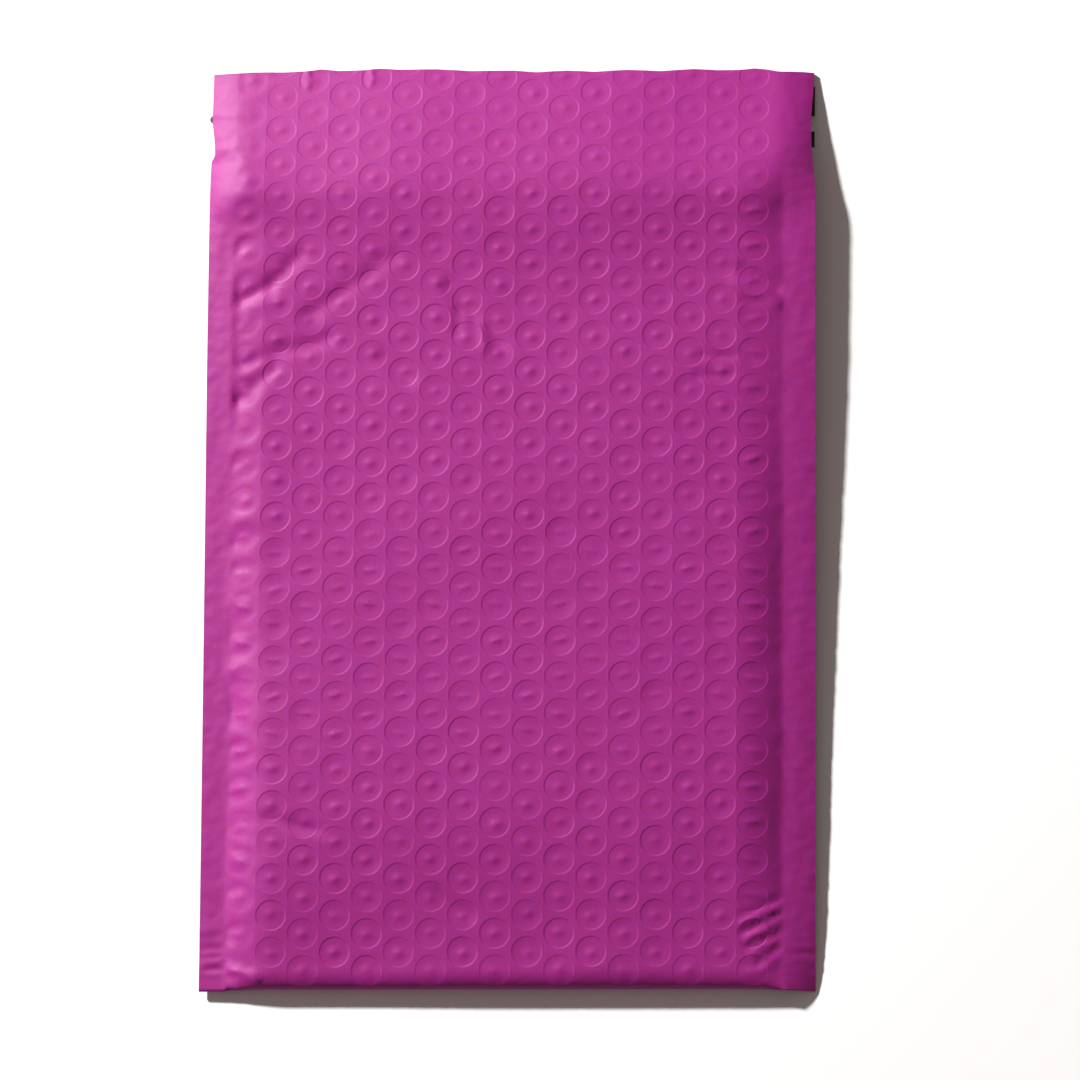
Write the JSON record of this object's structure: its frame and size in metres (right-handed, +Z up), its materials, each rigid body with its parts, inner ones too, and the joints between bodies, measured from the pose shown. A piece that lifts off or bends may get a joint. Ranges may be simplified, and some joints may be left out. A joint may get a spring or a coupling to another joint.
{
  "type": "poly mailer",
  "caption": "Padded mailer of bubble-lined film, folded at the bottom and sealed at the sides, with an open flap that carries adhesive strips under a release liner.",
  "frame": {"origin": "middle of the lying mailer's footprint, on the surface it lies on", "axes": "+X across the mailer, +Y from the bottom fold to the flap's free end, +Z up from the surface"},
  "size_m": [0.2024, 0.306, 0.0118],
  "materials": {
    "film": "satin co-extruded film",
    "adhesive": "tacky black",
    "liner": "smooth siliconised film"
  },
  "bodies": {
    "root": {"pouch": "film", "wide_adhesive_strip": "adhesive", "narrow_adhesive_strip": "adhesive", "release_liner": "liner"}
  },
  "joints": []
}
